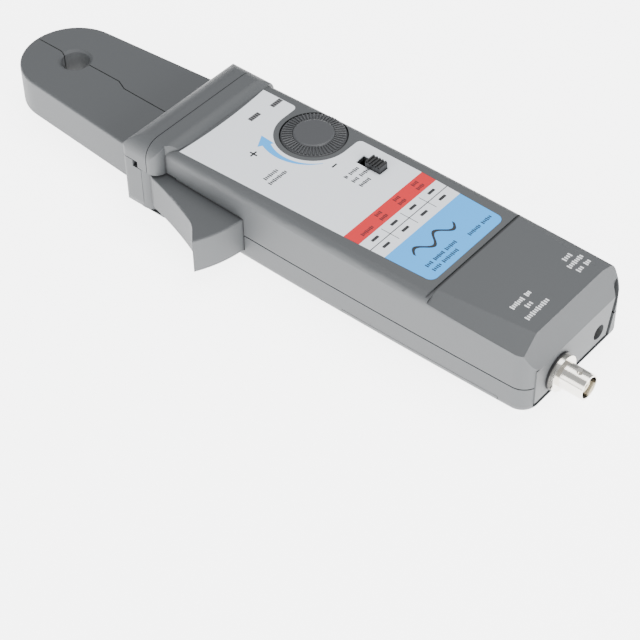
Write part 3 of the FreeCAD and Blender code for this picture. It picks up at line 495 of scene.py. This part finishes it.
add_words(black_marks, label_high.x - 4.6 * MM, 6.5 * MM, [6.6, 5.2], small_print, label_top)
ink_piece("label_black_marks", black_marks, black_ink)

red_marks = bmesh.new()
for column, word in enumerate((6.2, 3.8, 3.8, 3.8)):
    column_y = (-17.2 + 10.4 * column) * MM
    if column:
        add_words(red_marks, red_start + 2.0 * MM, column_y + 0.4 * MM, [3.2], small_print, label_top)
    add_words(red_marks, red_start + 4.6 * MM, column_y, [word], small_print, label_top)
ink_piece("red_band_marks", red_marks, dark_red_ink)

white_marks = bmesh.new()
tail_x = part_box("end_panel")[1].x
over_coaxial_socket = (-8.3, ([6.8, 2.6], [3.4], [12.6]))
over_supply_socket = (18.8, ([4.4], [8.2], [3.2, 2.8]))
for middle, rows in (over_coaxial_socket, over_supply_socket):
    for row, words in enumerate(rows):
        row_x = tail_x - (18.2 - 3.4 * row) * MM
        length = sum(words) + 1.3 * (len(words) - 1)
        add_words(white_marks, row_x, (middle - length / 2) * MM, words, tail_print, label_top)
ink_piece("white_marks", white_marks, white_ink)

arrow = bmesh.new()
arrow_steps = 40
arrow_from, arrow_to = math.radians(322), math.radians(238)
arrow_inner = knob_radius + 4.0 * MM


def on_knob_circle(radius, angle):
    return (kx + radius * math.cos(angle), ky + radius * math.sin(angle))


def arrow_station(k):
    """Inner and outer point of the swelling tail, k steps from its thin end."""
    share = k / arrow_steps
    angle = arrow_from + (arrow_to - arrow_from) * share
    thickness = (0.15 + 2.9 * share ** 1.3) * MM
    return on_knob_circle(arrow_inner, angle), on_knob_circle(arrow_inner + thickness, angle)


for k in range(arrow_steps):
    inner_a, outer_a = arrow_station(k)
    inner_b, outer_b = arrow_station(k + 1)
    add_plate(arrow, [inner_a, inner_b, outer_b, outer_a], label_top)
head_tip = math.radians(221)
add_plate(arrow, [
    on_knob_circle(arrow_inner - 1.2 * MM, arrow_to),
    on_knob_circle(arrow_inner + 2.6 * MM, head_tip),
    on_knob_circle(arrow_inner + 5.0 * MM, arrow_to),
], label_top)
bmesh.ops.recalc_face_normals(arrow, faces=arrow.faces)
ink_piece("turn_arrow", arrow, blue_ink)


# Indicator windows: two smoked clear bars set in the label over the lamps, each
# with five dark louvre lines. The lamps under them sit on the circuit board.
window_smoke = moulded_material("window_smoke", (0.16, 0.16, 0.165), rough=0.3, speckle=0.05, depth=0.05)
finish_nodes(window_smoke, "light_windows")


def build_row_of_bars():
    tree = bpy.data.node_groups.new("row_of_bars", "GeometryNodeTree")
    tree.is_modifier = True
    tree.interface.new_socket("Geometry", in_out="INPUT", socket_type="NodeSocketGeometry")
    tree_input(tree, "Count", "NodeSocketInt", 5)
    tree_input(tree, "Step", "NodeSocketVector", (0.001, 0, 0))
    tree_input(tree, "Bar size", "NodeSocketVector", (0.001, 0.001, 0.001))
    tree_input(tree, "Start", "NodeSocketVector", (0, 0, 0))
    tree_input(tree, "Material", "NodeSocketMaterial", None)
    tree.interface.new_socket("Geometry", in_out="OUTPUT", socket_type="NodeSocketGeometry")
    n, links = tree.nodes, tree.links
    entry = n.new("NodeGroupInput")
    leave = n.new("NodeGroupOutput")
    row = n.new("GeometryNodeMeshLine")
    links.new(entry.outputs["Count"], row.inputs["Count"])
    links.new(entry.outputs["Start"], row.inputs["Start Location"])
    links.new(entry.outputs["Step"], row.inputs["Offset"])
    bar = n.new("GeometryNodeMeshCylinder")
    bar.inputs["Vertices"].default_value = 12
    bar.inputs["Radius"].default_value = 0.5
    bar.inputs["Depth"].default_value = 1.0
    lay = n.new("GeometryNodeTransform")
    lay.inputs["Rotation"].default_value = (math.pi / 2, 0, 0)
    sized = n.new("GeometryNodeTransform")
    links.new(bar.outputs["Mesh"], lay.inputs["Geometry"])
    links.new(lay.outputs["Geometry"], sized.inputs["Geometry"])
    links.new(entry.outputs["Bar size"], sized.inputs["Scale"])
    spread = n.new("GeometryNodeInstanceOnPoints")
    links.new(row.outputs["Mesh"], spread.inputs["Points"])
    links.new(sized.outputs["Geometry"], spread.inputs["Instance"])
    real = n.new("GeometryNodeRealizeInstances")
    links.new(spread.outputs["Instances"], real.inputs["Geometry"])
    coat = n.new("GeometryNodeSetMaterial")
    links.new(real.outputs["Geometry"], coat.inputs["Geometry"])
    links.new(entry.outputs["Material"], coat.inputs["Material"])
    links.new(coat.outputs["Geometry"], leave.inputs["Geometry"])
    return tree


row_of_bars = build_row_of_bars()
windows_low, windows_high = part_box("light_windows")
window_length = 5.4 * MM
louvre_size = Vector((1.7, 0.5, 0.12)) * MM
louvre_step = 1.05 * MM
louvre_inset = 0.6 * MM
window_places = {
    "power": (windows_low.x + 1.0 * MM, windows_low.y),
    "overload": (windows_high.x - 1.0 * MM, windows_high.y - window_length),
}
for name, (bar_x, first_y) in window_places.items():
    louvres = grow(name + "_louvres", row_of_bars, {
        "Count": 5,
        "Step": Vector((0, louvre_step, 0)),
        "Bar size": louvre_size,
        "Start": Vector((bar_x, first_y + louvre_inset, windows_high.z)),
    }, black_ink)
    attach(louvres, "casing")


# Range slide switch: a black nylon slider standing out of the label, five ridges
# across its top for a fingertip, and the switch body under it on the board.
black_nylon = moulded_material("black_nylon", (0.012, 0.012, 0.013), rough=0.42, speckle=0.08, depth=0.2)
finish_nodes(black_nylon, "range_slider", "range_switch", "potentiometer", "battery_snap",
             "dc_jack", "bnc_washer", "amplifier_chips", "hall_sensor")
slider_low, slider_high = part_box("range_slider")
ridge_count = 5
ridge_step = (slider_high.x - slider_low.x) / ridge_count
ridge_share = 0.62          # of each step that the ridge fills
ridge_height = 1.1 * MM
slider_width = slider_high.y - slider_low.y
slider_ridges = grow("slider_ridges", row_of_bars, {
    "Count": ridge_count,
    "Step": Vector((ridge_step, 0, 0)),
    "Bar size": Vector((ridge_step * ridge_share, slider_width, ridge_height)),
    "Start": Vector((slider_low.x + ridge_step / 2, (slider_low.y + slider_high.y) / 2, slider_high.z)),
}, black_nylon)
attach(slider_ridges, "range_slider")


# Coaxial output socket: turned brass with bright nickel plate, a cream insulator
# and a plated centre contact. Plating keeps faint turning lines round its axis.
turned_stretch = (1.0, 0.06, 0.06)


def build_metal_group():
    group = bpy.data.node_groups.new("worked_metal", "ShaderNodeTree")
    for name, value in {"Lines per m": 9000.0, "Rough": 0.2, "Rough spread": 0.12}.items():
        socket = group.interface.new_socket(name, in_out="INPUT", socket_type="NodeSocketFloat")
        socket.default_value = value
    group.interface.new_socket("Roughness", in_out="OUTPUT", socket_type="NodeSocketFloat")
    group.interface.new_socket("Height", in_out="OUTPUT", socket_type="NodeSocketFloat")
    n, links = group.nodes, group.links
    entry = n.new("NodeGroupInput")
    leave = n.new("NodeGroupOutput")
    place = n.new("ShaderNodeTexCoord")
    stretch = n.new("ShaderNodeVectorMath")
    stretch.operation = "MULTIPLY"
    stretch.inputs[1].default_value = turned_stretch
    lines = n.new("ShaderNodeTexNoise")
    lines.inputs["Detail"].default_value = 2.0
    links.new(place.outputs["Object"], stretch.inputs[0])
    links.new(stretch.outputs[0], lines.inputs["Vector"])
    links.new(entry.outputs["Lines per m"], lines.inputs["Scale"])
    rough = n.new("ShaderNodeMath")
    rough.operation = "MULTIPLY_ADD"
    links.new(lines.outputs["Fac"], rough.inputs[0])
    links.new(entry.outputs["Rough spread"], rough.inputs[1])
    links.new(entry.outputs["Rough"], rough.inputs[2])
    links.new(rough.outputs[0], leave.inputs["Roughness"])
    links.new(lines.outputs["Fac"], leave.inputs["Height"])
    return group


metal_group = build_metal_group()
turning_depth = 0.02 * MM


def metal_material(name, colour, rough, lines=9000.0):
    material, tree, shader = new_material(name)
    shader.inputs["Base Color"].default_value = (*colour, 1)
    shader.inputs["Metallic"].default_value = 1.0
    texture = tree.nodes.new("ShaderNodeGroup")
    texture.node_tree = metal_group
    texture.inputs["Lines per m"].default_value = lines
    texture.inputs["Rough"].default_value = rough
    bump = tree.nodes.new("ShaderNodeBump")
    bump.inputs["Strength"].default_value = 0.15
    bump.inputs["Distance"].default_value = turning_depth
    tree.links.new(texture.outputs["Roughness"], shader.inputs["Roughness"])
    tree.links.new(texture.outputs["Height"], bump.inputs["Height"])
    tree.links.new(bump.outputs["Normal"], shader.inputs["Normal"])
    return material


bright_nickel = metal_material("bright_nickel", (0.72, 0.69, 0.63), 0.10)
finish_nodes(bright_nickel, "bnc_shell", "bnc_nut")
cream_insulator = moulded_material("cream_insulator", (0.72, 0.66, 0.52), rough=0.4, depth=0.05)
finish_nodes(cream_insulator, "bnc_insulator")
plated_brass = metal_material("plated_brass", (0.72, 0.56, 0.26), 0.18)
finish_nodes(plated_brass, "bnc_contact", "battery_terminals", "hinge_bush", "dc_jack_pin")


# Screws, hinge pin, torsion spring, wheel shaft and shield can: zinc-plated
# steel, duller than the nickel.
zinc_steel = metal_material("zinc_steel", (0.48, 0.48, 0.49), 0.30)
finish_nodes(zinc_steel, "cover_screws", "board_screws", "lever_screws", "door_screw", "hinge_pin",
             "jaw_spring", "knob_shaft", "amplifier_shield")


# Sensing parts and electronics inside: split ring core, winding, lamps, board,
# battery and leads, each in its own finish.
finish_nodes(metal_material("core_alloy", (0.10, 0.10, 0.11), 0.45, 4000.0), "fixed_core", "moving_core")
finish_nodes(metal_material("coil_copper", (0.62, 0.27, 0.11), 0.28, 14000.0), "fixed_winding")
finish_nodes(moulded_material("lamp_lens", (0.50, 0.06, 0.04), rough=0.25, depth=0.05), "status_lights")
solder_mask = moulded_material("solder_mask", (0.02, 0.15, 0.06), rough=0.35, grain=1400.0)
finish_nodes(solder_mask, "circuit_board")
finish_nodes(moulded_material("battery_jacket", (0.03, 0.03, 0.035), rough=0.3, depth=0.08), "battery")
finish_nodes(moulded_material("wire_skin", (0.30, 0.02, 0.02), rough=0.5), "coil_lead", "battery_leads",
             "output_lead", "dc_jack_lead")
